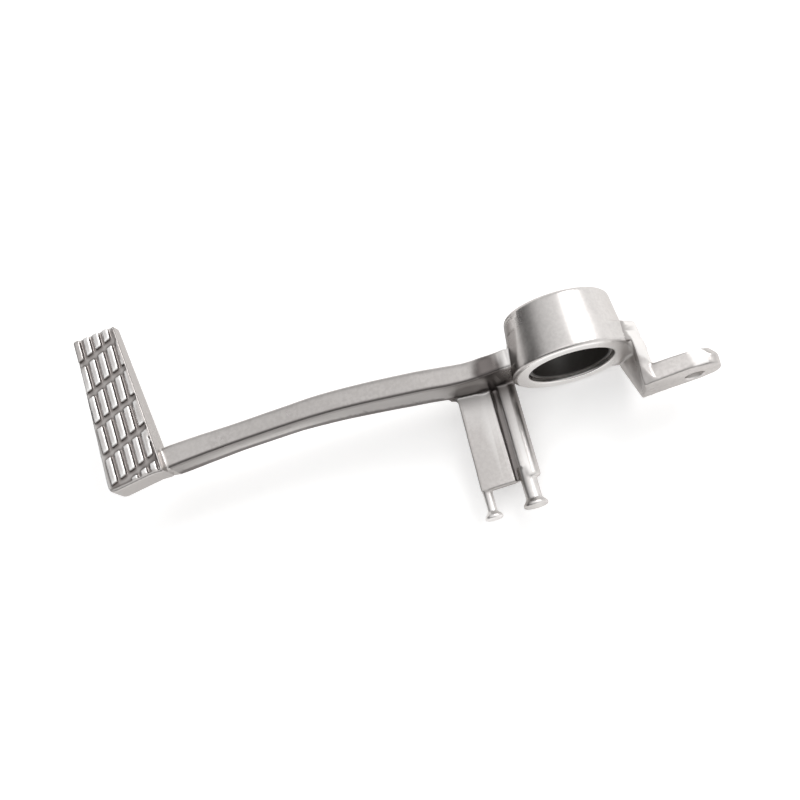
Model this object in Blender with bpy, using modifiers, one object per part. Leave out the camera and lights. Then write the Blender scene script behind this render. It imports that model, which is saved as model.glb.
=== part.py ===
import bpy
import bmesh
import math
from mathutils import Vector

for old in list(bpy.data.objects):
    bpy.data.objects.remove(old, do_unlink=True)

mm = 0.001

# The pivot axis is Y, the foot pad lies at -X, the pull-rod ear at +X and the tread
# faces +Z. The origin is the centre of the pivot bore.

# Pivot hub, a short sleeve that widens toward its outer face (draft of the casting)
hub_half_length = 10.0 * mm
hub_outer_radius = 19.4 * mm
hub_inner_radius = 17.35 * mm
hub_outer_chamfer = 1.1 * mm
hub_inner_chamfer = 0.9 * mm
bore_radius = 14.0 * mm
bore_chamfer = 0.4 * mm
hub_steps = 96

# Plain pivot bush, pressed into the bore and set back from both faces
bush_gap = 0.1 * mm
bush_wall = 1.4 * mm
bush_setback = 1.5 * mm
bush_chamfer = 0.3 * mm

# Foot pad: a bar along Y, narrow at its free end
lever_reach = 158.9 * mm
pad_length = 56.4 * mm
pad_top = 10.0 * mm
pad_arm_y = -4.9 * mm
pad_free_y = pad_arm_y + pad_length
pad_back_x = -lever_reach
pad_free_width = 15.6 * mm
pad_arm_width = 20.8 * mm
pad_free_depth = 5.4 * mm
pad_arm_depth = 10.6 * mm
pad_corner = 3.4 * mm
pad_edge = 0.8 * mm
pad_sharp_edge = 50.0

# Tread: cast ribs along the pad, parted by diagonal slashes
tread_depth = 1.3 * mm
tread_margin = 0.9 * mm
tread_open = 2.0 * mm
rib_count = 5
rib_pitch = 3.65 * mm
rib_width = 2.25 * mm
rib_inset = 3.4 * mm
rib_angle = math.radians(3.55)
slash_count = 5
slash_pitch = 11.3 * mm
slash_width = 2.2 * mm
slash_inset = 6.9 * mm
slash_angle = math.radians(20.0)

# Arm: a bowed bar of near rectangular section, its edges well rounded
arm_root_x = -12.0 * mm
arm_seat = 15.9 * mm
arm_edge = 1.1 * mm
arm_steps = 44
corner_steps = 3

# Spring plate beside the arm, and the boss that stands past a groove
plate_left_x = -40.2 * mm
plate_lean = 0.6 * mm
plate_width = 10.3 * mm
plate_thickness = 3.8 * mm
plate_end_y = -37.8 * mm
plate_mid_z = -11.9 * mm
groove_floor = 1.5 * mm
boss_x = -23.7 * mm
boss_radius = 2.95 * mm

# Two headed spring posts past the plate's end, a light and a heavy one
post_length = 9.4 * mm
light_neck_radius = 1.65 * mm
light_head_radius = 3.05 * mm
heavy_x = -25.0 * mm
heavy_neck_radius = 2.7 * mm
heavy_head_radius = 4.1 * mm
head_rim = 1.1 * mm
head_flare = 1.5 * mm

# Flank on the hub's outer half, and the web that runs on from it to the ear
flank_back_y = -2.6 * mm
flank_front_x = 22.9 * mm
flank_crease_x = 19.0 * mm
flank_crease_z = 7.5 * mm
flank_angle = math.radians(33.5)
flank_edge = 0.8 * mm
sharp_edge = 60.0

# Ear: a flat cheek with the clevis-pin hole
ear_back_y = -17.7 * mm
ear_thickness = 6.2 * mm
ear_taper = 1.1 * mm
ear_reach = 44.0 * mm
ear_tip_x = ear_reach
ear_top = 2.0 * mm
ear_height = 12.4 * mm
ear_tip_cut = 2.5 * mm
ear_low_radius = 4.6 * mm
ear_high_radius = 4.4 * mm
ear_hole_x = 35.3 * mm
ear_hole_radius = 3.1 * mm
ear_edge = 0.8 * mm


def new_collection(name, hidden=False):
    made = bpy.data.collections.new(name)
    bpy.context.scene.collection.children.link(made)
    made.hide_render = hidden
    return made


parts = new_collection("brake_lever")
cutters = new_collection("brake_lever_cutters", True)


def add_object(name, mesh, collection):
    made = bpy.data.objects.new(name, mesh)
    collection.objects.link(made)
    if collection == cutters:
        made.hide_render = True
        made.display_type = "WIRE"
    return made


def outward(mesh):
    work = bmesh.new()
    work.from_mesh(mesh)
    bmesh.ops.remove_doubles(work, verts=work.verts, dist=0.00001 * mm)
    bmesh.ops.recalc_face_normals(work, faces=work.faces)
    work.to_mesh(mesh)
    work.free()
    mesh.update()


def baked(obj):
    depsgraph = bpy.context.evaluated_depsgraph_get()
    mesh = bpy.data.meshes.new_from_object(obj.evaluated_get(depsgraph))
    mesh.transform(obj.matrix_world)
    outward(mesh)
    return mesh


# Solid through a row of closed sections that all have the same number of corners
def loft(name, rings, collection=cutters):
    work = bmesh.new()
    rows = [[work.verts.new(point) for point in ring] for ring in rings]
    for low, high in zip(rows[:-1], rows[1:]):
        for index in range(len(low)):
            after = (index + 1) % len(low)
            work.faces.new((low[index], low[after], high[after], high[index]))
    work.faces.new(list(reversed(rows[0])))
    work.faces.new(rows[-1])
    mesh = bpy.data.meshes.new(name)
    work.to_mesh(mesh)
    work.free()
    outward(mesh)
    return add_object(name, mesh, collection)


# Turned solid about a line along Y; the profile is (radius, y) from the high end down
def turned(name, profile, centre_x=0.0, centre_z=0.0, steps=hub_steps, collection=cutters):
    mesh = bpy.data.meshes.new(name)
    points = [(radius, y, 0.0) for radius, y in profile]
    edges = [(index, index + 1) for index in range(len(points) - 1)]
    mesh.from_pydata(points, edges, [])
    lathe = add_object(name + "_profile", mesh, cutters)
    screw = lathe.modifiers.new("Turn", "SCREW")
    screw.axis = "Y"
    screw.angle = math.tau
    screw.steps = steps
    screw.render_steps = steps
    screw.use_merge_vertices = True
    screw.merge_threshold = 0.00001
    lathe.location = (centre_x, 0.0, centre_z)
    bpy.context.view_layer.update()
    solid = add_object(name, baked(lathe), collection)
    bpy.data.objects.remove(lathe, do_unlink=True)
    return solid


# Flat shape parallel to XY between two levels; outlines after the first are its holes
def flat(name, outlines, low, high):
    curve = bpy.data.curves.new(name, "CURVE")
    curve.dimensions = "2D"
    curve.fill_mode = "BOTH"
    curve.extrude = (high - low) / 2.0
    for outline in outlines:
        spline = curve.splines.new("POLY")
        spline.points.add(len(outline) - 1)
        for point, (x, y) in zip(spline.points, outline):
            point.co = (x, y, 0.0, 1.0)
        spline.use_cyclic_u = True
    shape = add_object(name + "_outline", curve, cutters)
    shape.location = (0.0, 0.0, (high + low) / 2.0)
    bpy.context.view_layer.update()
    solid = add_object(name, baked(shape), cutters)
    bpy.data.objects.remove(shape, do_unlink=True)
    return solid


def rounded(obj, width, limit):
    edges = obj.modifiers.new("Edges", "BEVEL")
    edges.width = width
    edges.segments = 2
    edges.limit_method = "ANGLE"
    edges.angle_limit = math.radians(limit)


def boolean(target, tool, operation, solver="EXACT"):
    change = target.modifiers.new(operation.title(), "BOOLEAN")
    change.object = tool
    change.operation = operation
    change.solver = solver


def mix(low, high, share):
    return low + (high - low) * share


def stations(start, end, count):
    return [mix(start, end, step / count) for step in range(count + 1)]


def arc(centre, radius, start, end, count):
    angles = [math.radians(angle) for angle in stations(start, end, count)]
    return [(centre[0] + radius * math.cos(a), centre[1] + radius * math.sin(a)) for a in angles]


def on_level(points, y):
    return [(x, y, z) for x, z in points]


# Hub as a solid, the bore is cut at the end
hub = turned("hub", [
    (0.0, hub_half_length),
    (hub_inner_radius - hub_inner_chamfer, hub_half_length),
    (hub_inner_radius, hub_half_length - hub_inner_chamfer),
    (hub_outer_radius, -hub_half_length + 0.7 * hub_outer_chamfer),
    (hub_outer_radius - hub_outer_chamfer, -hub_half_length),
    (0.0, -hub_half_length),
])

# Arm by its design stations, pad end first: share of the length, then in mm the
# centre's y, the width, the underside's z and the top's z
arm_rows = (
    (0.000, 2.0, 7.0, -3.2, 5.9),
    (0.069, 2.8, 6.6, -6.6, 6.0),
    (0.252, 3.3, 6.0, -8.2, 6.0),
    (0.481, 3.0, 6.0, -8.8, 6.0),
    (0.710, 0.1, 6.1, -11.0, 6.0),
    (0.840, -2.3, 6.2, -13.4, 6.1),
    (0.893, -2.5, 6.4, -13.8, 6.8),
    (0.928, -2.1, 7.0, -13.8, 8.2),
    (0.954, -1.6, 8.2, -13.8, 10.6),
    (1.000, -0.8, 10.0, -13.8, 13.0),
)


# Smooth curve through one column of the stations
def arm_at(share, column):
    index = 0
    while index < len(arm_rows) - 2 and share > arm_rows[index + 1][0]:
        index += 1
    before = arm_rows[max(index - 1, 0)]
    start, end = arm_rows[index], arm_rows[index + 1]
    after = arm_rows[min(index + 2, len(arm_rows) - 1)]
    span = end[0] - start[0]
    t = (share - start[0]) / span
    slope_start = (end[column] - before[column]) / (end[0] - before[0]) * span
    slope_end = (after[column] - start[column]) / (after[0] - start[0]) * span
    value = (2 * t ** 3 - 3 * t ** 2 + 1) * start[column]
    value += (t ** 3 - 2 * t ** 2 + t) * slope_start
    value += (3 * t ** 2 - 2 * t ** 3) * end[column]
    value += (t ** 3 - t ** 2) * slope_end
    return value * mm


def rounded_box(left, right, low, high, radius):
    return (
        arc((right - radius, high - radius), radius, 0.0, 90.0, corner_steps)
        + arc((left + radius, high - radius), radius, 90.0, 180.0, corner_steps)
        + arc((left + radius, low + radius), radius, 180.0, 270.0, corner_steps)
        + arc((right - radius, low + radius), radius, 270.0, 360.0, corner_steps)
    )


arm_tip_x = pad_back_x + arm_seat


def arm_section(share):
    x = mix(arm_tip_x, arm_root_x, share)
    half = arm_at(share, 2) / 2.0
    near, far = arm_at(share, 1) - half, arm_at(share, 1) + half
    return [(x, y, z) for y, z in rounded_box(near, far, arm_at(share, 3), arm_at(share, 4), arm_edge)]


bend_share = arm_rows[5][0]
arm_shares = stations(0.0, bend_share, arm_steps * 2 // 3)
arm_shares += stations(bend_share, 1.0, arm_steps // 3)[1:]
arm = loft("arm", [arm_section(share) for share in arm_shares])

# Foot pad: plan outline between its free end and the arm
pad_free = [
    Vector((pad_back_x - 1.0 * mm, pad_free_y - 0.4 * mm)),
    Vector((pad_back_x - 1.0 * mm + pad_free_width, pad_free_y + 0.5 * mm)),
]
pad_arm = [
    Vector((pad_back_x + 0.4 * mm, pad_arm_y)),
    Vector((pad_back_x + 0.4 * mm + pad_arm_width, pad_arm_y + 2.6 * mm)),
]


def rounded_corner(before, corner, after, radius, count):
    into = (before - corner).normalized()
    out = (after - corner).normalized()
    half = into.angle(out) / 2.0
    start = corner + into * radius / math.tan(half)
    end = corner + out * radius / math.tan(half)
    points = []
    for t in stations(0.0, 1.0, count):
        points.append((1 - t) ** 2 * start + 2 * t * (1 - t) * corner + t ** 2 * end)
    return points


pad_outline = (
    rounded_corner(pad_arm[0], pad_free[0], pad_free[1], pad_edge, 3)
    + rounded_corner(pad_free[0], pad_free[1], pad_arm[1], pad_edge, 3)
    + [pad_arm[1]]
    + rounded_corner(pad_arm[1], pad_arm[0], pad_free[0], pad_corner, 8)
)


def pad_low(y):
    share = (y - pad_arm_y) / (pad_free_y - pad_arm_y)
    return pad_top - mix(pad_arm_depth, pad_free_depth, share)


pad = loft("pad", [
    [(p.x, p.y, pad_low(p.y)) for p in pad_outline],
    [(p.x, p.y, pad_top) for p in pad_outline],
])
rounded(pad, pad_edge, pad_sharp_edge)

# The tread's cutter is one plate over the pad with a hole for each rib
tread_area = [
    pad_arm[0] + Vector((-tread_open, 1.1 * mm)),
    pad_arm[1] + Vector((-tread_margin, 0.7 * mm)),
    pad_free[1] + Vector((-tread_margin, tread_open)),
    pad_free[0] + Vector((-tread_open, tread_open)),
]
middle = sum(tread_area, Vector((0.0, 0.0))) / 4.0
rib_area = [point + (middle - point).normalized() * 0.35 * mm for point in tread_area]
rib_along = Vector((-math.sin(rib_angle), math.cos(rib_angle)))
rib_across = Vector((rib_along.y, -rib_along.x))
slash_along = Vector((math.cos(slash_angle), math.sin(slash_angle)))
slash_across = Vector((-slash_along.y, slash_along.x))


# Part of a convex outline on the left of the line from start to end
def clipped(outline, start, end):
    kept = []
    for index, point in enumerate(outline):
        previous = outline[index - 1]
        here = (end - start).cross(point - start)
        there = (end - start).cross(previous - start)
        if (here > 0.0) != (there > 0.0):
            kept.append(previous + (point - previous) * there / (there - here))
        if here > 0.0:
            kept.append(point)
    return kept


def slash_centre(row):
    return (pad_free[0] + pad_free[1]) / 2.0 - rib_along * (slash_inset + row * slash_pitch)


# One rib's outline between slash row - 1 and slash row
def rib_outline(row, column):
    centre = Vector((pad_back_x + rib_inset, 0.0)) + rib_across * column * rib_pitch
    reach = rib_along * 2.0 * pad_free_y
    side = rib_across * rib_width / 2.0
    shape = [centre - side - reach, centre + side - reach, centre + side + reach, centre - side + reach]
    if row > 0:
        line = slash_centre(row - 1) - slash_across * slash_width / 2.0
        shape = clipped(shape, line + slash_along, line)
    if row < slash_count and shape:
        line = slash_centre(row) + slash_across * slash_width / 2.0
        shape = clipped(shape, line, line + slash_along)
    for index, corner in enumerate(rib_area):
        if shape:
            shape = clipped(shape, corner, rib_area[(index + 1) % 4])
    return shape


def extent(shape, direction):
    reaches = [point.dot(direction) for point in shape]
    return max(reaches) - min(reaches)


rib_outlines = []
for row in range(slash_count + 1):
    for column in range(rib_count):
        shape = rib_outline(row, column)
        if shape and extent(shape, rib_across) > 0.6 * mm and extent(shape, rib_along) > 0.8 * mm:
            rib_outlines.append(shape)
tread = flat("tread", [tread_area] + rib_outlines, pad_top - tread_depth, pad_top + tread_depth)

# Spring plate, the floor of the groove beside it, and the boss
plate_low = plate_mid_z - plate_thickness / 2.0
plate_high = plate_mid_z + plate_thickness / 2.0
plate_right_x = plate_left_x + plate_width
plate_root_y = -1.0 * mm
plate = flat("plate", [[
    (plate_left_x, plate_root_y),
    (plate_left_x - plate_lean, plate_end_y),
    (plate_right_x, plate_end_y),
    (plate_right_x, plate_root_y),
]], plate_low, plate_high)
link = flat("link", [[
    (plate_right_x - 1.0 * mm, plate_root_y),
    (plate_right_x - 1.0 * mm, plate_end_y + 0.2 * mm),
    (boss_x, plate_end_y + 0.2 * mm),
    (boss_x, plate_root_y),
]], plate_low + 0.3 * mm, plate_low + 0.3 * mm + groove_floor)
boss = turned("boss", [
    (0.0, plate_root_y),
    (boss_radius, plate_root_y),
    (boss_radius, plate_end_y + 0.5 * mm),
    (boss_radius - 0.4 * mm, plate_end_y),
    (0.0, plate_end_y),
], centre_x=boss_x, centre_z=plate_mid_z, steps=32)
post_end_y = plate_end_y - post_length


def post(name, x, neck, head):
    return turned(name, [
        (0.0, plate_end_y + 4.0 * mm),
        (neck, plate_end_y + 4.0 * mm),
        (neck, post_end_y + head_rim + head_flare),
        (head, post_end_y + head_rim),
        (head, post_end_y + 0.3 * mm),
        (head - 0.3 * mm, post_end_y),
        (0.0, post_end_y),
    ], centre_x=x, centre_z=plate_mid_z, steps=32)


light_x = plate_left_x - plate_lean + light_neck_radius
light_post = post("light_post", light_x, light_neck_radius, light_head_radius)
heavy_post = post("heavy_post", heavy_x, heavy_neck_radius, heavy_head_radius)

# Flank: leaves the hub's cone without a step, then two planes down to the web's front
flank_out = Vector((math.cos(flank_angle), math.sin(flank_angle)))
crease = Vector((flank_crease_x, flank_crease_z))


# Height of the flank's outer plane over a given x
def flank_height(x):
    return (crease.dot(flank_out) - x * flank_out.x) / flank_out.y


def hub_radius_at(y):
    return mix(hub_inner_radius, hub_outer_radius, (hub_half_length - y) / (2.0 * hub_half_length))


def flank_section(y):
    radius = hub_radius_at(y)
    touch = math.atan2(crease.y, crease.x) + math.acos(min(radius / crease.length, 1.0))
    inner = (bore_radius + radius) / 2.0
    return on_level([
        (inner * math.cos(touch + 0.35), inner * math.sin(touch + 0.35)),
        (radius * math.cos(touch), radius * math.sin(touch)),
        (crease.x, crease.y),
        (flank_front_x, flank_height(flank_front_x)),
        (flank_front_x, -8.6 * mm),
        (15.6 * mm, -17.8 * mm),
        (13.2 * mm, -17.2 * mm),
        (8.0 * mm, -14.0 * mm),
    ], y)


flank = loft("flank", [flank_section(flank_back_y), flank_section(-hub_half_length)])
rounded(flank, flank_edge, sharp_edge)

# Web: from the flank's front face to the ear's, by y, outer x and share of the change
ear_front_y = ear_back_y - ear_thickness
web_rows = (
    (-hub_half_length + 2.0 * mm, flank_front_x - 0.5 * mm, 0.0),
    (-hub_half_length - 0.6 * mm, flank_front_x - 0.5 * mm, 0.0),
    (mix(-hub_half_length, ear_front_y, 0.29), flank_front_x - 0.3 * mm, 0.25),
    (mix(-hub_half_length, ear_front_y, 0.50), flank_front_x + 0.5 * mm, 0.48),
    (ear_front_y, flank_front_x + 1.3 * mm, 1.0),
)
web_inner_start = ((13.2 * mm, -17.2 * mm), (18.2 * mm, -6.0 * mm), (19.4 * mm, 6.6 * mm))
web_inner_end = ((17.2 * mm, -11.9 * mm), (18.6 * mm, -6.0 * mm), (19.9 * mm, ear_top))


def web_section(y, outer_x, share):
    inner = []
    for start, end in zip(web_inner_start, web_inner_end):
        inner.append((mix(start[0], end[0], share), mix(start[1], end[1], share)))
    outer = [
        (outer_x, mix(flank_height(outer_x), ear_top, share)),
        (outer_x, mix(-9.0 * mm, -10.0 * mm, share)),
        (mix(15.8 * mm, 20.0 * mm, share), mix(-18.0 * mm, -12.2 * mm, share)),
    ]
    return on_level(inner + outer, y)


web = loft("web", [web_section(*row) for row in web_rows])


# Ear: its end is rounded in the side view, and its back corner cut off in plan
def ear_section(y, tip_x):
    low = ear_top - ear_height
    low_centre = (tip_x - ear_low_radius, low + ear_low_radius + 0.8 * mm)
    high_centre = (tip_x - ear_high_radius, ear_top - ear_high_radius)
    outline = [(17.3 * mm, -11.9 * mm), (tip_x - 6.0 * mm, low + 0.6 * mm)]
    outline += arc(low_centre, ear_low_radius, -70.0, 0.0, 6)
    outline += arc(high_centre, ear_high_radius, 8.0, 90.0, 8)
    outline += [(web_inner_end[2][0], ear_top)]
    return on_level(outline, y)


# The ear's front face leans back a little toward the tip
def ear_front(x):
    return ear_front_y + ear_taper * (x - flank_front_x) / (ear_tip_x - flank_front_x)


ear = loft("ear", [
    ear_section(ear_back_y, ear_tip_x - ear_tip_cut),
    ear_section(ear_back_y - ear_tip_cut, ear_tip_x),
    [(x, ear_front(x), z) for x, y, z in ear_section(ear_front_y, ear_tip_x)],
])
rounded(ear, ear_edge, sharp_edge)
ear_hole = turned("ear_hole", [
    (0.0, ear_back_y + 3.0 * mm),
    (ear_hole_radius, ear_back_y + 3.0 * mm),
    (ear_hole_radius, ear_front_y - 3.0 * mm),
    (0.0, ear_front_y - 3.0 * mm),
], centre_x=ear_hole_x, centre_z=ear_top - ear_height / 2.0 - 0.5 * mm, steps=32)
bore = turned("bore", [
    (0.0, hub_half_length + 1.0 * mm),
    (bore_radius + bore_chamfer + 1.0 * mm, hub_half_length + 1.0 * mm),
    (bore_radius, hub_half_length - bore_chamfer),
    (bore_radius, -hub_half_length + bore_chamfer),
    (bore_radius + bore_chamfer + 1.0 * mm, -hub_half_length - 1.0 * mm),
    (0.0, -hub_half_length - 1.0 * mm),
])

# The whole lever is one casting; the fine tread is cut last
for tool in (arm, flank, web, ear, plate, link, boss, light_post, heavy_post, pad):
    boolean(hub, tool, "UNION")
for tool in (bore, ear_hole):
    boolean(hub, tool, "DIFFERENCE")
boolean(hub, tread, "DIFFERENCE", "MANIFOLD")
bpy.context.view_layer.update()
cast_lever = add_object("cast_lever", baked(hub), parts)

bush_radius = bore_radius - bush_gap
bush_end = hub_half_length - bush_setback
pivot_bush = turned("pivot_bush", [
    (bush_radius - bush_wall, bush_end),
    (bush_radius - bush_chamfer, bush_end),
    (bush_radius, bush_end - bush_chamfer),
    (bush_radius, -bush_end + bush_chamfer),
    (bush_radius - bush_chamfer, -bush_end),
    (bush_radius - bush_wall, -bush_end),
    (bush_radius - bush_wall, bush_end),
], collection=parts)


def painted(obj, name, colour, roughness, metallic):
    made = bpy.data.materials.new(name)
    made.use_nodes = True
    shader = made.node_tree.nodes["Principled BSDF"]
    shader.inputs["Base Color"].default_value = (*colour, 1.0)
    shader.inputs["Roughness"].default_value = roughness
    shader.inputs["Metallic"].default_value = metallic
    obj.data.materials.clear()
    obj.data.materials.append(made)
    obj.data.shade_smooth()
    obj.data.set_sharp_from_angle(angle=math.radians(28.0))


painted(cast_lever, "cast_aluminium", (0.62, 0.60, 0.58), 0.38, 1.0)
painted(pivot_bush, "lined_bush", (0.06, 0.055, 0.05), 0.45, 0.0)
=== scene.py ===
import bpy
import bmesh
import math
import numpy as np
from mathutils import Matrix, Vector


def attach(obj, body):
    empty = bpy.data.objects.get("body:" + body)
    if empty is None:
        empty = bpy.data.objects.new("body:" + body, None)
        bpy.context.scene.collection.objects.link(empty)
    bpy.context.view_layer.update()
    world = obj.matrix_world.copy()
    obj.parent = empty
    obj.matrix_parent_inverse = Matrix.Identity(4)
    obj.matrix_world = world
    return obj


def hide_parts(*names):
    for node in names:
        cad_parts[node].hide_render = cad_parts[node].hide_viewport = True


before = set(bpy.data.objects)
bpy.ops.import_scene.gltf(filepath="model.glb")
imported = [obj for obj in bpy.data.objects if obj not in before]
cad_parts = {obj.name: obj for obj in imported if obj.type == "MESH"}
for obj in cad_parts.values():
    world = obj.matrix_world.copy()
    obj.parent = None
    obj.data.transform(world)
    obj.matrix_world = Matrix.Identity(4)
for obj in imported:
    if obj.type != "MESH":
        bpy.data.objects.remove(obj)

scene = bpy.context.scene
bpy.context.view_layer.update()  # before any piece is added
mm = 0.001
perMetre = 1000.0


photoCamera = {
    "place": (0.04386, -0.14886, 0.47825),
    "right": (0.9299, -0.2484, -0.2714),
    "up": (0.3107, 0.9252, 0.2176),
    "back": (0.1970, -0.2867, 0.9375),
    "lens": 70.65,
    "sensor": 36.0,
    "nearest": 0.01,
}


def makeCamera(settings):
    camera = bpy.data.objects.new("photoCamera", bpy.data.cameras.new("photoCamera"))
    scene.collection.objects.link(camera)
    camera.data.sensor_width = settings["sensor"]
    camera.data.lens = settings["lens"]
    camera.data.clip_start = settings["nearest"]
    axes = Matrix((settings["right"], settings["up"], settings["back"])).transposed()
    camera.matrix_world = axes.to_4x4()
    camera.location = settings["place"]
    scene.camera = camera


makeCamera(photoCamera)
print("camera set")


def addNode(tree, kind, place, **inputs):
    node = tree.nodes.new(kind)
    node.location = place
    for name, value in inputs.items():
        node.inputs[name].default_value = value
    return node


def setInput(tree, socket, value):
    # a socket takes a link, a colour or a plain number
    if isinstance(value, bpy.types.NodeSocket):
        tree.links.new(value, socket)
    elif isinstance(value, tuple):
        socket.default_value = (*value, 1.0)
    else:
        socket.default_value = value


def mathNode(tree, operation, first, second, place):
    node = addNode(tree, "ShaderNodeMath", place)
    node.operation = operation
    setInput(tree, node.inputs[0], first)
    setInput(tree, node.inputs[1], second)
    return node.outputs[0]


def mapRange(tree, value, low, high, toLow, toHigh, place, smooth=True):
    node = addNode(tree, "ShaderNodeMapRange", place)
    node.interpolation_type = "SMOOTHSTEP" if smooth else "LINEAR"
    tree.links.new(value, node.inputs["Value"])
    levels = {"From Min": low, "From Max": high, "To Min": toLow, "To Max": toHigh}
    for name, level in levels.items():
        node.inputs[name].default_value = level
    return node.outputs["Result"]


def mixColour(tree, factor, first, second, place):
    node = addNode(tree, "ShaderNodeMix", place)
    node.data_type = "RGBA"
    for index, value in ((0, factor), (6, first), (7, second)):  # factor, A and B for colours
        setInput(tree, node.inputs[index], value)
    return node.outputs[2]


def noiseTexture(tree, vector, scale, detail, roughness, place):
    node = addNode(tree, "ShaderNodeTexNoise", place,
                   Scale=scale, Detail=detail, Roughness=roughness)
    tree.links.new(vector, node.inputs["Vector"])
    return node.outputs["Fac"]


castGrain = {
    # scale, detail and roughness of each noise
    "fine": (2600.0, 3.0, 0.6),  # sandy skin, cells of about 0.4 mm
    "wave": (210.0, 2.0, 0.5),  # slow unevenness of the casting, about 5 mm
    "mottle": (900.0, 3.0, 0.55),
    "blotch": (70.0, 3.0, 0.6),
    "amounts": {"Wave": 0.6, "Grain": 0.4},
}


def makeCastGrain(settings):
    group = bpy.data.node_groups.new("castGrain", "ShaderNodeTree")
    for name in ("Height", "Mottle", "Blotch"):
        group.interface.new_socket(name=name, in_out="OUTPUT", socket_type="NodeSocketFloat")
    for name, amount in settings["amounts"].items():
        socket = group.interface.new_socket(
            name=name, in_out="INPUT", socket_type="NodeSocketFloat")
        socket.default_value = amount
    put = addNode(group, "NodeGroupInput", (-900, -300))
    out = addNode(group, "NodeGroupOutput", (700, 0))
    where = addNode(group, "ShaderNodeTexCoord", (-900, 0)).outputs["Object"]
    noises = {}
    for row, name in enumerate(("fine", "wave", "mottle", "blotch")):
        noises[name] = noiseTexture(group, where, *settings[name], (-600, 200 - 200 * row))
    grainPart = mathNode(group, "MULTIPLY", noises["fine"], put.outputs["Grain"], (-300, 200))
    wavePart = mathNode(group, "MULTIPLY", noises["wave"], put.outputs["Wave"], (-300, 0))
    total = mathNode(group, "ADD", grainPart, wavePart, (0, 100))
    group.links.new(total, out.inputs["Height"])
    group.links.new(noises["mottle"], out.inputs["Mottle"])
    group.links.new(noises["blotch"], out.inputs["Blotch"])
    return group


castGrainGroup = makeCastGrain(castGrain)


def placeGrain(tree, place, wave, grain):
    node = addNode(tree, "ShaderNodeGroup", place)
    node.node_tree = castGrainGroup
    node.inputs["Wave"].default_value = wave
    node.inputs["Grain"].default_value = grain
    return node


def newMaterial(name):
    material = bpy.data.materials.new(name)
    material.use_nodes = True
    tree = material.node_tree
    shader = tree.nodes["Principled BSDF"]
    shader.location = (600, 0)
    tree.nodes["Material Output"].location = (900, 0)
    return material, tree, shader


def patchyRoughness(tree, grain, roughness, place):
    return mapRange(tree, grain.outputs["Blotch"], 0.3, 0.7, *roughness, place)


def addBump(tree, shader, grain, strength, distance):
    bump = addNode(tree, "ShaderNodeBump", (300, -300), Strength=strength, Distance=distance)
    tree.links.new(grain.outputs["Height"], bump.inputs["Height"])
    tree.links.new(bump.outputs["Normal"], shader.inputs["Normal"])


# colours of the cast metal, with the tones that paint light and shade on it
castFinishAndPaintedLight = {
    "plain": (0.570, 0.545, 0.530),
    "mottled": (0.500, 0.476, 0.462),
    # bright bare metal, and the tone of the painted highlights
    "bright": (0.920, 0.900, 0.885),
    # painted highlight on the tops of the tread's ribs
    "worn": (0.900, 0.885, 0.875),
    # painted shade on faces turned sideways and down
    "dull": (0.450, 0.428, 0.415),
    # painted shade in the gaps between the tread's ribs
    "recess": (0.235, 0.214, 0.206),
    "shade": (0.150, 0.135, 0.130),
    # which tone each mask brings, the later ones on top
    "layers": (("dull", "dull"), ("bright", "bright"), ("turned", "bright"),
               ("shade", "shade"), ("ribGap", "recess"), ("ribTop", "worn")),
    "mottleRange": (0.35, 0.65, 0.0, 1.0),
    "blotchRange": (0.35, 0.7, 0.0, 0.5),
    "roughness": (0.26, 0.36),
    "turnedSmoother": 0.08,
    "brightRougher": 0.12,
    "wave": 1.0,
    "grain": 0.35,
    "bump": 0.10,
    "bumpDistance": 0.06 * mm,
    "grazing": (0.80, 0.79, 0.78),  # how much of the edge-on sheen stays
}


def makeCastFinishAndPaintedLight(settings):
    material, tree, shader = newMaterial("castAluminium")
    grain = placeGrain(tree, (-1500, 200), settings["wave"], settings["grain"])
    masks = {}
    for row, name in enumerate(dict(settings["layers"])):
        node = addNode(tree, "ShaderNodeAttribute", (-1500, -100 - 180 * row))
        node.attribute_name = name
        masks[name] = node.outputs["Fac"]
    mottle = mapRange(tree, grain.outputs["Mottle"], *settings["mottleRange"], (-1100, 400))
    base = mixColour(tree, mottle, settings["mottled"], settings["plain"], (-900, 300))
    blotch = mapRange(tree, grain.outputs["Blotch"], *settings["blotchRange"], (-1100, 100))
    base = mixColour(tree, blotch, base, settings["plain"], (-700, 300))
    for column, (name, tone) in enumerate(settings["layers"]):
        base = mixColour(tree, masks[name], base, settings[tone], (-500 + 180 * column, 300))
    tree.links.new(base, shader.inputs["Base Color"])
    rough = patchyRoughness(tree, grain, settings["roughness"], (-700, -100))
    smoother = mathNode(tree, "MULTIPLY", masks["turned"], settings["turnedSmoother"], (-300, -200))
    rougher = mathNode(tree, "MULTIPLY", masks["bright"], settings["brightRougher"], (-300, -350))
    rough = mathNode(tree, "SUBTRACT", rough, smoother, (-100, -100))
    rough = mathNode(tree, "ADD", rough, rougher, (100, -100))
    tree.links.new(rough, shader.inputs["Roughness"])
    shader.inputs["Metallic"].default_value = 1.0
    setInput(tree, shader.inputs["Specular Tint"], settings["grazing"])
    addBump(tree, shader, grain, settings["bump"], settings["bumpDistance"])
    return material


bushFinish = {
    "bushSteel": {
        "tones": ((0.10, 0.095, 0.09), (0.16, 0.15, 0.142)),
        "metallic": 1.0,
        "roughness": (0.26, 0.4),
        "wave": 0.3,
        "grain": 0.3,
        "bump": 0.1,
        "bumpDistance": 0.03 * mm,
    },
    "bushLining": {
        "tones": ((0.018, 0.016, 0.014), (0.034, 0.030, 0.027)),
        "metallic": 0.0,
        "roughness": (0.34, 0.5),
        "wave": 0.3,
        "grain": 0.6,
        "bump": 0.2,
        "bumpDistance": 0.04 * mm,
    },
}


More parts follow.
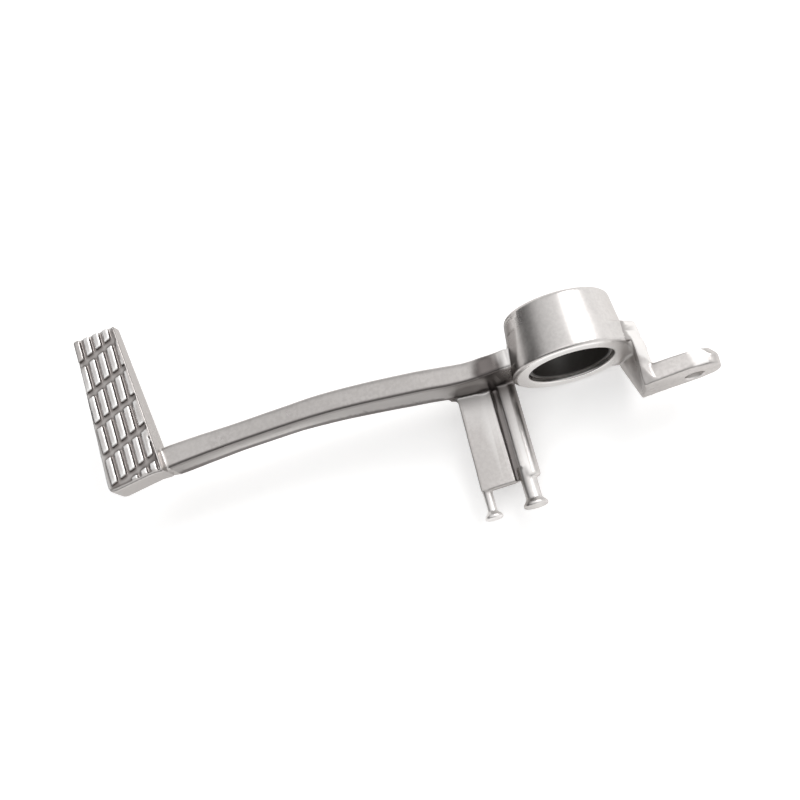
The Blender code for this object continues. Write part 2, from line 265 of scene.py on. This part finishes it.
def makeBushFinish(name, settings):
    material, tree, shader = newMaterial(name)
    grain = placeGrain(tree, (-700, 0), settings["wave"], settings["grain"])
    tone = mixColour(tree, grain.outputs["Mottle"], *settings["tones"], (-300, 100))
    tree.links.new(tone, shader.inputs["Base Color"])
    shader.inputs["Metallic"].default_value = settings["metallic"]
    rough = patchyRoughness(tree, grain, settings["roughness"], (-300, -100))
    tree.links.new(rough, shader.inputs["Roughness"])
    addBump(tree, shader, grain, settings["bump"], settings["bumpDistance"])
    return material


castMaterial = makeCastFinishAndPaintedLight(castFinishAndPaintedLight)
steelMaterial = makeBushFinish("bushSteel", bushFinish["bushSteel"])
liningMaterial = makeBushFinish("bushLining", bushFinish["bushLining"])
print("finishes made")


def addPiece(name, work, material):
    mesh = bpy.data.meshes.new(name)
    work.to_mesh(mesh)
    work.free()
    piece = bpy.data.objects.new(name, mesh)
    scene.collection.objects.link(piece)
    mesh.materials.append(material)
    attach(piece, "root")
    return piece


def applyModifiers(piece):
    depsgraph = bpy.context.evaluated_depsgraph_get()
    mesh = bpy.data.meshes.new_from_object(piece.evaluated_get(depsgraph))
    piece.modifiers.clear()
    old = piece.data
    piece.data = mesh
    mesh.name = old.name
    bpy.data.meshes.remove(old)


far = 1000.0  # a limit in mm that is never met

# all places, reaches and heights are in mm
castSkin = {
    "voxel": 0.22 * mm,
    "weldWithin": 0.0005 * mm,
    "triangles": 188000,
    "shoulderSize": (3.0, 34.5, 3.78),
    "shoulderPlace": (-30.5, -20.55, -11.9),
    "filletCorner": (-40.2, -4.4),
    "filletRadius": 2.6,
    "filletLevels": (-12.9, -10.3),
    # inner corners that the casting fills: centre, reach, strength
    "fills": (
        ((-19.5, -2.5, 7.0), 5.0, 0.25),
        ((-18.0, -3.0, -6.0), 9.0, 0.8),
        ((-27.0, -7.0, -10.5), 7.0, 0.5),
        ((-141.0, 1.0, 6.0), 6.0, 0.3),
        ((20.0, -9.5, 1.0), 9.0, 0.5),
        ((25.0, -20.0, 2.0), 4.0, 0.15),
    ),
    "fillRounds": 220,
    "fillRise": 0.12,  # a fill of this height counts in full
    # creases that the casting flows over: centre, reach, strength
    "flows": (
        ((21.5, -15.0, -1.0), 8.0, 1.0),
        ((18.6, -10.2, -5.5), 5.0, 1.0),
        ((25.0, -23.6, 2.0), 2.6, 1.0),
        ((28.0, -23.4, 2.0), 2.6, 1.0),
        ((31.0, -23.1, 2.0), 2.6, 1.0),
        ((34.0, -22.8, 2.0), 2.6, 1.0),
        ((37.0, -22.5, 2.0), 2.6, 1.0),
        ((40.0, -22.2, 1.4), 2.6, 1.0),
    ),
    "flowRounds": 45,
    "softRounds": 20,
    "boreRadius": 15.2,
    "boreShare": 0.4,  # how far the bore takes part in the last softening
    "aroundRounds": 70,  # rounds that give the skin's mean height around a point
    "padBox": ((-far, -136.0), (-far, far), (5.0, far)),
    # the hub's cone: its radius at y 0, and the change for each mm of y
    "hubCone": (18.37, 0.0, -0.1165),
    "hubClear": 0.03,
    # the arm's root at the hub: its height by x, and how far it goes to the back
    "rootTop": ((-27.0, 6.3), (-22.5, 6.5), (-19.2, 7.0)),
    "rootBack": 0.7,
    "rootBox": ((-29.0, -11.0), (-9.0, 9.0), (-far, far)),
    "rootBackBox": ((-38.0, -11.0), (0.0, 9.0), (-far, far)),
    "rootFadeTo": -25.0,
    "rootRise": (0.0, 6.5),
    # the web's crease: how far out, its rows and its side
    "webOut": 1.1,
    "webRows": (-22.0, -13.0, -10.0, -7.5),
    "webSide": (15.5, 19.0),
    # the boss: axis in x and z, the skin that is squared, and its rows
    "bossAxis": (-23.7, -11.9),
    "bossSkin": (2.2, 3.25),
    "bossPower": 8,
    "bossRows": (-35.0, -33.5, -6.0, -3.0),
    # the ear's top: from x, to x, degrees, and the heights and row it starts at
    "earTilt": (34.6, 39.3, 12.0),
    "earTop": (-3.0, 1.4),
    "earBackRow": -16.0,
    # the ear's front face: how much fuller by x, and where
    "earFuller": ((21.0, 0.1), (27.0, 0.4), (36.0, 0.95), (44.0, 1.0)),
    "earFrontHeights": (1.8, -2.0),
    "earFrontRows": (-20.0, -23.0),
    "earFrontFrom": 20.0,
    # how far the arm's walls stand out past the plain bar, by x
    "armFrontTop": ((-142, 0.0), (-137, 0.8), (-40, 0.85), (-30, 0.3), (-24, 0.0)),
    "armFrontLow": ((-142, 0.0), (-137, 0.85), (-127, 0.45), (-114, 0.1), (-93, 0.12),
                    (-84, 0.5), (-70, 0.85), (-55, 0.9), (-42, 0.75), (-30, 0.2), (-24, 0.0)),
    "armBack": ((-142, 0.0), (-137, 0.35), (-124, 0.2), (-114, 0.0), (-93, 0.1),
                (-84, 0.35), (-62, 0.5), (-45, 0.4), (-30, 0.1), (-24, 0.0)),
    "armBox": ((-142.0, -24.0), (-13.0, far), (-far, far)),
    "armWallBox": ((-137.0, -24.0), (-8.0, 8.0), (-8.5, 7.0)),
    "armHeights": (-8.0, 3.0),
    "armRows": (-13.0, -6.5),
}


def smoothStep(low, high, values):
    share = np.clip((values - low) / (high - low), 0.0, 1.0)
    return share * share * (3.0 - 2.0 * share)


def inBox(places, box):
    inside = np.ones(len(places), dtype=bool)
    for column, (low, high) in enumerate(box):
        inside &= (places[:, column] > low) & (places[:, column] < high)
    return inside


def lineAt(values, line):
    level, start, slope = line
    return level + slope * (values - start)


def stopsAt(values, stops):
    stops = np.array(stops, dtype=float)
    return np.interp(values, stops[:, 0], stops[:, 1])


def alongArm(x, values, chosen, cuts, pick):
    # the least or greatest value in slices across the arm, read back at each point
    width = cuts[1] - cuts[0]
    found = [pick(values[chosen & (x >= cut) & (x < cut + width)]) for cut in cuts]
    return np.interp(x, cuts + 0.5 * width, found)


def readPoints(mesh):
    places = np.empty(len(mesh.vertices) * 3, dtype=np.float32)
    normals = np.empty(len(mesh.vertices) * 3, dtype=np.float32)
    mesh.vertices.foreach_get("co", places)
    mesh.vertex_normals.foreach_get("vector", normals)
    return places.reshape(-1, 3) * perMetre, normals.reshape(-1, 3)


def writePoints(mesh, places):
    mesh.vertices.foreach_set("co", (places / perMetre).astype(np.float32).ravel())
    mesh.update()


def zoneWeights(places, zones, fullness=1.6):
    weights = np.zeros(len(places))
    for centre, reach, strength in zones:
        away = np.linalg.norm(places - np.array(centre), axis=1) / reach
        share = np.clip(fullness * (1.0 - away * away), 0.0, 1.0)
        weights = np.maximum(weights, strength * share)
    return weights


def smoothed(piece, weights, rounds, levels=20):
    # where the points go when the modifier smooths them, each by its own weight
    group = piece.vertex_groups.new(name="smoothing")
    steps = np.round(weights * levels).astype(int)
    for step in range(1, levels + 1):
        members = np.nonzero(steps == step)[0]
        if len(members):
            group.add(members.tolist(), step / levels, "REPLACE")
    smooth = piece.modifiers.new("Smooth", "SMOOTH")
    smooth.factor = 0.5
    smooth.iterations = rounds
    smooth.vertex_group = group.name
    evaluated = piece.evaluated_get(bpy.context.evaluated_depsgraph_get())
    places = readPoints(evaluated.to_mesh())[0]
    evaluated.to_mesh_clear()
    piece.modifiers.clear()
    piece.vertex_groups.remove(group)
    return places


def widenArm(places, settings):
    x, y, z = places.T
    onArm = inBox(places, settings["armBox"])
    wall = onArm & inBox(places, settings["armWallBox"])
    cuts = np.arange(*settings["armWallBox"][0])
    front = alongArm(x, y, wall, cuts, np.min)
    back = alongArm(x, y, wall, cuts, np.max)
    forward = np.clip((back - y) / (back - front), 0.0, 1.0)
    height = smoothStep(*settings["armHeights"], z)
    topShift, lowShift, backShift = (
        stopsAt(x, settings[name]) for name in ("armFrontTop", "armFrontLow", "armBack"))
    frontShift = topShift * height + lowShift * (1.0 - height)
    fade = smoothStep(*settings["armRows"], y) * onArm
    places[:, 1] += fade * (backShift * (1.0 - forward) - frontShift * forward)


def lowerRoot(places, settings):
    # the arm runs into the hub at its own height, with the hub's wall bare above it
    x, y, z = places.T
    hubRadius = lineAt(y, settings["hubCone"])
    proud = np.hypot(x, z) > hubRadius + settings["hubClear"]
    near = proud & inBox(places, settings["rootBox"])
    top = near & (z > 0.0)
    startX, endX = settings["rootBox"][0]
    high = alongArm(x, z, top, np.arange(startX, endX), np.max)
    drop = np.clip(high - stopsAt(x, settings["rootTop"]), 0.0, None)
    drop *= smoothStep(startX, settings["rootFadeTo"], x)
    z[top] -= (drop * smoothStep(*settings["rootRise"], z))[top]

    proud = np.hypot(x, z) > hubRadius + settings["hubClear"]
    spread = proud & inBox(places, settings["rootBackBox"])
    startX, endX = settings["rootBackBox"][0]
    wide = alongArm(x, y, spread, np.arange(startX, endX), np.max)
    narrow = np.minimum(1.0, settings["rootBack"] / wide)
    narrow = 1.0 + (narrow - 1.0) * smoothStep(startX, settings["rootFadeTo"], x)
    y[spread] *= narrow[spread]
    radius = np.hypot(x, z)
    sunk = near & (radius < hubRadius)
    places[sunk, 0::2] *= (hubRadius / radius)[sunk, None]


def squareBoss(places, settings):
    # the boss's side toward the groove is flat on top and square
    x, y, z = places.T
    middleX, middleZ = settings["bossAxis"]
    inner, outer = settings["bossSkin"]
    low, lowFull, highFull, high = settings["bossRows"]
    power = settings["bossPower"]
    across, rise = x - middleX, z - middleZ
    radius = np.hypot(across, rise)
    left = (across < 0.0) & (rise > 0.0) & (radius > inner) & (radius < outer)
    left &= (y > low) & (y < high)
    turn = np.arctan2(-across, rise)
    square = (np.sin(turn) ** power + np.cos(turn) ** power) ** (-1.0 / power)
    square = 1.0 + (square - 1.0) * smoothStep(high, highFull, y) * smoothStep(low, lowFull, y)
    x[left] = (across * square)[left] + middleX
    z[left] = (rise * square)[left] + middleZ


def pushWeb(places, settings):
    # the web's crease stands further out than the solid's
    low, lowFull, highFull, high = settings["webRows"]
    x, y, z = places.T
    share = smoothStep(high, highFull, y) * smoothStep(low, lowFull, y)
    places[:, 0] += settings["webOut"] * share * smoothStep(*settings["webSide"], x)


def tiltEar(places, settings):
    startX, endX, degrees = settings["earTilt"]
    onEar = smoothStep(*settings["earTop"], places[:, 2]) * (places[:, 1] < settings["earBackRow"])
    run = np.clip(places[:, 0] - startX, 0.0, endX - startX)
    places[:, 2] -= math.tan(math.radians(degrees)) * run * onEar


def fillEar(places, settings):
    x, y, z = places.T
    onFront = smoothStep(*settings["earFrontHeights"], z)
    onFront = onFront * smoothStep(*settings["earFrontRows"], y) * (x > settings["earFrontFrom"])
    places[:, 1] -= stopsAt(x, settings["earFuller"]) * onFront


def cornerBlock(work, corner, out, along, radius, low, high, steps=8):
    # a prism with a hollow arc, which fills the corner between two walls
    sink = 0.8 * mm  # how far its back goes into the walls
    tuck = 0.7 * math.hypot(sink, sink)
    corner, out, along = Vector(corner), Vector(out), Vector(along)
    outline = [corner - (out + along) * sink, corner + out * radius - along * tuck]
    centre = corner + (out + along) * radius
    for step in range(steps + 1):
        turn = math.radians(90.0 * step / steps)
        outline.append(centre - along * radius * math.cos(turn) - out * radius * math.sin(turn))
    outline.append(corner + along * radius - out * tuck)
    face = work.faces.new([work.verts.new((point.x, point.y, low)) for point in outline])
    raised = bmesh.ops.extrude_face_region(work, geom=[face])["geom"]
    raised = [item for item in raised if isinstance(item, bmesh.types.BMVert)]
    bmesh.ops.translate(work, verts=raised, vec=(0.0, 0.0, high - low))


def addPlateForms(work, settings):
    # the plate's rounded shoulder toward the groove, and its fillet with the arm
    box = bmesh.ops.create_cube(work, size=1.0)["verts"]
    bmesh.ops.scale(work, verts=box, vec=Vector(settings["shoulderSize"]) * mm)
    bmesh.ops.translate(work, verts=box, vec=Vector(settings["shoulderPlace"]) * mm)
    cornerX, cornerY = settings["filletCorner"]
    low, high = settings["filletLevels"]
    cornerBlock(work, (cornerX * mm, cornerY * mm, 0.0), (-1.0, 0.0, 0.0), (0.0, -1.0, 0.0),
                settings["filletRadius"] * mm, low * mm, high * mm)


# where painted light and shade, the turned face and the bare metal lie, in mm or as a part of the
# surface's normal
castLightAndFinishPlaces = {
    # lines on the pad: a place, where it holds, and its slope
    "padRight": (-137.7, -2.3, -6.6 / 54.3),
    "padLow": (-4.9, -158.5, 0.125),
    "padTip": (-155.6, 46.0, -0.062),
    # other middles that places are measured from
    "bossAxis": (-23.7, -11.9),
    "bossTopX": -23.6,
    "lightPostAxis": (-39.15, -11.9),
    "earHoleAxis": (35.3, -4.7),
    "grooveX": -28.0,
    "armMiddleX": -75.0,
    # the arm, and the slices that its edges are read in
    "armBox": ((-137.0, -18.0), (-9.5, 6.0), (-14.5, far)),
    "armCuts": (-136, -18, 2),
    "wallForward": 0.5,
    "flatForward": 0.94,
    "flankBox": ((19.5, 27.0), (-14.0, -4.0), (-far, far)),
    # each limit: what is measured, where the mask starts and where it is full
    "masks": {
        "tread": (("padInner", 0.9, 1.3), ("padRow", 1.2, 1.7), ("z", 7.49, 7.5)),
        # where the rib tops get no painted highlight, near the pad's tip
        "unworn": (("tipPast", 0.0, 0.6), ("y", 38.0, 41.0)),
        "raised": (("above", 0.01, 0.13),),
        "sunken": (("above", 0.01, -0.12),),
        "padEdge": (("padEdgeAway", 1.3, 0.8), ("up", 0.99, 0.95), ("up", 0.29, 0.3),
                    ("z", 8.39, 8.4), ("y", -4.01, -4.0), ("x", -136.0, -136.01)),
        "ring": (("fromMiddle", 9.6, 9.9), ("around", 19.3, 18.7), ("x", 15.0, 9.0)),
        "ringRight": (("x", -18.0, -9.0),),
        "rim": (("y", -9.2, -9.6), ("around", 18.9, 19.2), ("around", 20.2, 19.6)),
        "boss": (("bossAway", 4.6, 4.2), ("y", -6.0, -12.0)),
        "bossTop": (("bossTopAway", 1.5, 0.4),),
        "heavyPost": (("y", -35.5, -36.5),),
        "lightPost": (("lightPostAway", 3.6, 3.3), ("y", -38.2, -38.8)),
        "lightHead": (("y", -42.5, -43.5),),
        "flank": (("x", 18.3, 19.6), ("outward", 0.55, 0.75), ("y", -2.4, -3.4),
                  ("y", -25.0, -22.0), ("x", 27.0, 26.99)),
        "flankTop": (("flankDepth", 1.9, 1.1), ("x", 18.8, 18.81), ("x", 27.0, 26.99),
                     ("y", -2.4, -3.4)),
        "hub": (("around", 22.0, 19.0), ("fromMiddle", 11.0, 10.99)),
        "hubRight": (("x", -12.0, 0.0),),
        "hubSide": (("up", 0.75, 0.2), ("outward", 0.1, -0.4)),
        "hubLeft": (("outward", -0.66, -0.88), ("fromMiddle", 9.4, 9.39), ("z", 1.0, 5.0)),
        "ear": (("x", 18.0, 21.0), ("y", -15.0, -17.0)),
        "earPatch": (("x", 35.9, 36.4), ("x", 41.0, 40.5), ("y", -17.0, -17.01),
                     ("up", 0.8, 0.93)),
        "earHole": (("earHoleAway", 3.6, 3.3), ("y", -19.0, -20.0), ("up", 0.2, 0.5)),
        "wallFace": (("forward", 0.6, 0.85), ("x", -38.0, -46.0)),
        "wallRight": (("x", -88.0, -62.0),),
        "sides": (("up", 0.5, -0.3),),
        "groove": (("x", -29.2, -28.8), ("x", -26.8, -27.2), ("z", -8.2, -8.9),
                   ("up", 0.3, 0.8), ("y", -3.0, -5.0), ("y", -38.51, -38.5)),
        "shoulders": (("grooveAway", 1.6, 1.2), ("grooveAway", 0.7, 0.9), ("y", -5.0, -7.0),
                      ("y", -34.0, -28.0), ("z", -13.51, -13.5), ("up", 0.04, 0.05)),
        "plateTop": (("up", 0.6, 0.85),),
        "underArm": (("up", 0.5, 0.2),),
        "offHub": (("around", 18.6, 21.0),),
        "webFace": (("outward", 0.62, 0.4), ("y", -10.2, -11.2), ("y", -23.9, -23.2)),
        "topEdge": (("up", 0.985, 0.93), ("up", -0.2, 0.1), ("forward", 0.05, 0.25)),
        "highEdge": (("depth", 1.9, 0.5), ("forward", 0.3, 0.7)),
        "lowEdge": (("height", 5.2, 3.4), ("forward", 0.3, 0.7)),
        "leftOfHub": (("x", -19.5, -22.0),),
        "armMiddle": (("middleAway", 55.0, 20.0), ("up", 0.7, 0.9)),
    },
    # centre, reach, strength
    # zones of painted highlight (hub top, plate root) and painted shade (web, corners, under the
    # arm)
    "hubTopZone": ((-18.5, -3.0, 7.5), 4.5, 0.7),
    "plateRootZone": ((-35.0, -7.0, -10.2), 6.5, 0.9),
    "webZone": ((20.0, -15.5, -4.0), 9.5, 0.65),
    "cornerZones": (((-25.5, -4.0, 6.5), 6.0, 1.0), ((-22.0, -7.0, -9.0), 8.0, 0.7)),
    "underArmZone": ((-34.0, -4.5, -6.0), 10.0, 1.0),
}


def measureCasting(piece, settings):
    # what the limits of the masks are measured on, and the arm's front wall
    places, normals = readPoints(piece.data)
    x, y, z = places.T
    above = np.empty(len(places), dtype=np.float32)
    piece.data.attributes["above"].data.foreach_get("value", above)
    padRight = lineAt(y, settings["padRight"])
    values = {
        "x": x, "y": y, "z": z, "above": above,
        "outward": normals[:, 0], "forward": -normals[:, 1], "up": normals[:, 2],
        "around": np.hypot(x, z),
        "fromMiddle": np.abs(y),
        "padInner": padRight - x,
        "padEdgeAway": np.abs(padRight - x),
        "padRow": y - lineAt(x, settings["padLow"]),
        "tipPast": lineAt(y, settings["padTip"]) - x,
        "bossTopAway": np.abs(x - settings["bossTopX"]),
        "grooveAway": np.abs(x - settings["grooveX"]),
        "middleAway": np.abs(x - settings["armMiddleX"]),
        "flankDepth": z[inBox(places, settings["flankBox"])].max() - z,
    }
    for name in ("boss", "lightPost", "earHole"):
        middleX, middleZ = settings[name + "Axis"]
        values[name + "Away"] = np.hypot(x - middleX, z - middleZ)
    onArm = inBox(places, settings["armBox"])
    wall = onArm & (values["forward"] > settings["wallForward"])
    flat = onArm & (values["forward"] > settings["flatForward"])
    cuts = np.arange(*settings["armCuts"])
    values["depth"] = alongArm(x, z, wall, cuts, np.max) - z
    values["height"] = z - alongArm(x, z, flat, cuts, np.min)
    return places, values, onArm, wall


def castMasks(piece, settings):
    places, values, onArm, wall = measureCasting(piece, settings)
    mask = {}
    for name, limits in settings["masks"].items():
        mask[name] = np.ones(len(places))
        for measured, start, full in limits:
            mask[name] = mask[name] * smoothStep(start, full, values[measured])
    most = np.maximum.reduce
    # the turned face round the bore is bright bare metal; painted shade takes it down toward the
    # right and halves it toward the left
    turned = mask["ring"] * (0.5 + 0.5 * mask["ringRight"])
    boss, hub, lightPost = mask["boss"], mask["hub"], mask["lightPost"]
    bossTone = boss * (0.5 + 0.5 * mask["bossTop"])
    # bright bare metal on the boss and the posts, with a painted highlight along the boss's top,
    # and painted highlights on the flank, the hub's right side and top, the ear's top and hole, the
    # arm's front wall, the plate's root and the groove's shoulders
    bright = most([
        bossTone * (1.0 - 0.5 * mask["heavyPost"]),
        lightPost * (0.3 + 0.5 * mask["lightHead"]),
        0.74 * mask["flank"],
        0.25 * hub * mask["hubRight"],
        0.9 * mask["earPatch"],
        0.8 * mask["earHole"],
        onArm * mask["wallFace"] * (0.55 + 0.3 * mask["wallRight"]),
        mask["plateTop"] * zoneWeights(places, (settings["plateRootZone"],)),
        0.5 * mask["shoulders"],
        zoneWeights(places, (settings["hubTopZone"],)),
    ])
    # parts that get no painted side shade
    keptFromSideShade = most([boss, lightPost, mask["flank"], mask["ear"], turned, hub])
    # painted shade: faces turned sideways and down are darker, less so on the arm's front wall, and
    # the hub's sides too
    dull = most([
        mask["sides"] * (1.0 - keptFromSideShade) * (1.0 - 0.7 * wall),
        mask["hubSide"] * hub,
    ])
    # painted shade in the corners, the groove, on the web's face and the middle of the arm's top,
    # and painted dark reflection lines along the arm's front edges, the hub's left side and rim,
    # the flank's top and the pad's right edge
    underArm = mask["underArm"] * zoneWeights(places, (settings["underArmZone"],))
    corners = most([zoneWeights(places, settings["cornerZones"]), underArm])
    edges = most([0.8 * mask["topEdge"], 0.7 * mask["highEdge"], mask["lowEdge"]])
    shade = most([
        corners * mask["offHub"] * (1.0 - boss),
        0.9 * mask["groove"],
        mask["webFace"] * zoneWeights(places, (settings["webZone"],)),
        0.2 * mask["armMiddle"],
        hub * mask["hubLeft"],
        edges * onArm * mask["leftOfHub"],
        0.6 * mask["flankTop"],
        0.6 * mask["padEdge"],
        0.4 * mask["rim"],
    ])
    return {
        # painted highlight on the rib tops, left off near the pad's tip
        "ribTop": mask["raised"] * mask["tread"] * (1.0 - mask["unworn"]),
        # painted shade in the gaps between the ribs
        "ribGap": mask["sunken"] * mask["tread"],
        "turned": turned,
        "bright": bright,
        "dull": dull,
        "shade": shade,
    }


def paintMasks(piece, masks):
    for name, values in masks.items():
        layer = piece.data.attributes.new(name, "FLOAT", "POINT")
        layer.data.foreach_set("value", np.clip(values, 0.0, 1.0).astype(np.float32))
    print("masks on", len(piece.data.vertices), "points")


def makeCasting(settings, lightAndFinishPlaces):
    work = bmesh.new()
    work.from_mesh(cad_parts["cast_lever"].data)
    bmesh.ops.remove_doubles(work, verts=work.verts, dist=settings["weldWithin"])
    addPlateForms(work, settings)
    piece = addPiece("castLever", work, castMaterial)
    remesh = piece.modifiers.new("Skin", "REMESH")
    remesh.mode = "VOXEL"
    remesh.voxel_size = settings["voxel"]
    applyModifiers(piece)
    print("skin of", len(piece.data.polygons), "faces")

    places = readPoints(piece.data)[0]
    lowerRoot(places, settings)
    squareBoss(places, settings)
    pushWeb(places, settings)
    writePoints(piece.data, places)
    places, normals = readPoints(piece.data)
    outsideBore = np.hypot(places[:, 0], places[:, 2]) > settings["boreRadius"]
    fills = zoneWeights(places, settings["fills"]) * outsideBore
    filled = smoothed(piece, fills, settings["fillRounds"])
    rise = ((filled - places) * normals).sum(axis=1)
    places += (filled - places) * smoothStep(0.0, settings["fillRise"], rise)[:, None]
    tiltEar(places, settings)
    widenArm(places, settings)
    fillEar(places, settings)
    writePoints(piece.data, places)
    flows = zoneWeights(places, settings["flows"]) * outsideBore
    writePoints(piece.data, smoothed(piece, flows, settings["flowRounds"]))
    softening = np.where(outsideBore, 1.0, settings["boreShare"])
    places = smoothed(piece, softening, settings["softRounds"])
    writePoints(piece.data, places)
    onPad = inBox(places, settings["padBox"])
    mean = smoothed(piece, onPad * 1.0, settings["aroundRounds"])
    layer = piece.data.attributes.new("above", "FLOAT", "POINT")
    layer.data.foreach_set("value", (places[:, 2] - mean[:, 2]).astype(np.float32))
    print("corners filled, edges softened")

    thin = piece.modifiers.new("Thin", "DECIMATE")
    thin.ratio = settings["triangles"] / (2.0 * len(piece.data.polygons))  # faces are quads
    applyModifiers(piece)
    piece.data.shade_smooth()
    paintMasks(piece, castMasks(piece, lightAndFinishPlaces))
    return piece


castLever = makeCasting(castSkin, castLightAndFinishPlaces)
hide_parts("cast_lever")
print("casting made")


pivotBush = {
    "outer": 13.9 * mm,
    "shell": 13.0 * mm,
    "inner": 12.5 * mm,
    "half": 8.5 * mm,
    "chamfer": 0.3 * mm,
    "shellEdge": 0.1 * mm,
    "liningBack": 0.15 * mm,  # how far the lining's outer edge lies behind the shell's end
    "liningGap": 0.01 * mm,
    "steps": 160,
    "sharpDegrees": 35.0,
}


def spunRing(profile, steps):
    work = bmesh.new()
    corners = [work.verts.new((radius, y, 0.0)) for radius, y in profile]
    edges = [work.edges.new((corners[index - 1], corner)) for index, corner in enumerate(corners)]
    bmesh.ops.spin(
        work, geom=corners + edges, cent=(0, 0, 0), axis=(0, 1, 0),
        angle=math.tau, steps=steps, use_merge=True,
    )
    bmesh.ops.recalc_face_normals(work, faces=work.faces)
    return work


def makeBush(settings):
    half, cut, edge = settings["half"], settings["chamfer"], settings["shellEdge"]
    outer, shell, inner = settings["outer"], settings["shell"], settings["inner"]
    back, seat = settings["liningBack"], settings["shell"] - settings["liningGap"]
    shellRing = spunRing([
        (outer - cut, half), (outer, half - cut), (outer, cut - half), (outer - cut, -half),
        (shell + edge, -half), (shell, edge - half), (shell, half - edge), (shell + edge, half),
    ], settings["steps"])
    liningRing = spunRing([
        (seat, half - back), (seat, back - half),
        (inner + back, edge - half), (inner, cut - half),
        (inner, half - cut), (inner + back, half - edge),
    ], settings["steps"])
    shellPiece = addPiece("bushShell", shellRing, steelMaterial)
    liningPiece = addPiece("bushLining", liningRing, liningMaterial)
    for piece in (shellPiece, liningPiece):
        piece.data.shade_smooth()
        piece.data.set_sharp_from_angle(angle=math.radians(settings["sharpDegrees"]))
    return shellPiece, liningPiece


bushShell, bushLining = makeBush(pivotBush)
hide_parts("pivot_bush")
print("bush made")


studio = {
    "floorLevel": -19.7 * mm,
    "floorSize": 12.0,
    "floorColour": (0.90, 0.895, 0.89),
    "floorRoughness": 0.9,
    "floorLift": 0.36,
    # strength, then turn, rise and width in degrees
    "suns": {
        "keyLight": (1.1, 130.0, 38.0, 28.0),
        "topLight": (0.14, 175.0, 79.0, 30.0),
    },
    # how bright each part of the room is, and where it starts and is full
    "darkLevel": 0.10,
    "ceilingLevel": 0.84,
    "ceilingRise": (0.50, 0.78),
    "rightLevel": 1.0,
    "rightReach": (0.05, 0.55),
    "backLevel": 0.75,
    "backReach": (0.45, 0.80),
}


def makeFloor(settings):
    work = bmesh.new()
    bmesh.ops.create_grid(work, x_segments=1, y_segments=1, size=settings["floorSize"])
    bmesh.ops.translate(work, verts=work.verts, vec=(0.0, 0.0, settings["floorLevel"]))
    mesh = bpy.data.meshes.new("studioFloor")
    work.to_mesh(mesh)
    work.free()
    floor = bpy.data.objects.new("studioFloor", mesh)
    scene.collection.objects.link(floor)
    material, tree, shader = newMaterial("studioFloor")
    setInput(tree, shader.inputs["Base Color"], settings["floorColour"])
    shader.inputs["Roughness"].default_value = settings["floorRoughness"]
    shader.inputs["Specular IOR Level"].default_value = 0.0
    setInput(tree, shader.inputs["Emission Color"], (1.0, 1.0, 1.0))
    path = addNode(tree, "ShaderNodeLightPath", (-600, -200))
    seen = path.outputs["Is Camera Ray"]
    for column, ray in enumerate(("Is Glossy Ray", "Is Transmission Ray")):
        seen = mathNode(tree, "MAXIMUM", seen, path.outputs[ray], (-300 + 200 * column, -200))
    lift = mathNode(tree, "MULTIPLY", seen, settings["floorLift"], (100, -200))
    tree.links.new(lift, shader.inputs["Emission Strength"])
    mesh.materials.append(material)


def addSoftSun(name, strength, turn, rise, width):
    lamp = bpy.data.lights.new(name, "SUN")
    lamp.energy = strength
    lamp.angle = math.radians(width)
    holder = bpy.data.objects.new(name, lamp)
    scene.collection.objects.link(holder)
    turn, rise = math.radians(turn), math.radians(rise)
    across = math.cos(rise)
    toward = Vector((math.sin(turn) * across, -math.cos(turn) * across, math.sin(rise)))
    holder.matrix_world = toward.to_track_quat("Z", "Y").to_matrix().to_4x4()
    holder.location = toward


def makeWorld(settings):
    world = bpy.data.worlds.new("studioWorld")
    world.use_nodes = True
    scene.world = world
    tree = world.node_tree
    background = tree.nodes["Background"]
    where = addNode(tree, "ShaderNodeTexCoord", (-1200, 0)).outputs["Generated"]
    split = addNode(tree, "ShaderNodeSeparateXYZ", (-1000, 0))
    tree.links.new(where, split.inputs[0])
    # dark below, a ceiling above, bright to the right and behind
    rise = mapRange(tree, split.outputs["Z"], *settings["ceilingRise"], 0.0, 1.0, (-700, 100))
    right = mapRange(tree, split.outputs["X"], *settings["rightReach"], 0.0, 1.0, (-700, -150))
    behind = mapRange(tree, split.outputs["Y"], *settings["backReach"], 0.0, 1.0, (-700, -400))
    level = mapRange(tree, rise, 0.0, 1.0, settings["darkLevel"], settings["ceilingLevel"],
                     (-450, 100), smooth=False)
    level = mixColour(tree, right, level, (settings["rightLevel"],) * 3, (-200, 0))
    level = mixColour(tree, behind, level, (settings["backLevel"],) * 3, (0, 0))
    tree.links.new(level, background.inputs["Color"])
    background.inputs["Strength"].default_value = 1.0


makeFloor(studio)
for sunName, sunSettings in studio["suns"].items():
    addSoftSun(sunName, *sunSettings)
makeWorld(studio)
scene.view_settings.view_transform = "Standard"
print("studio made")
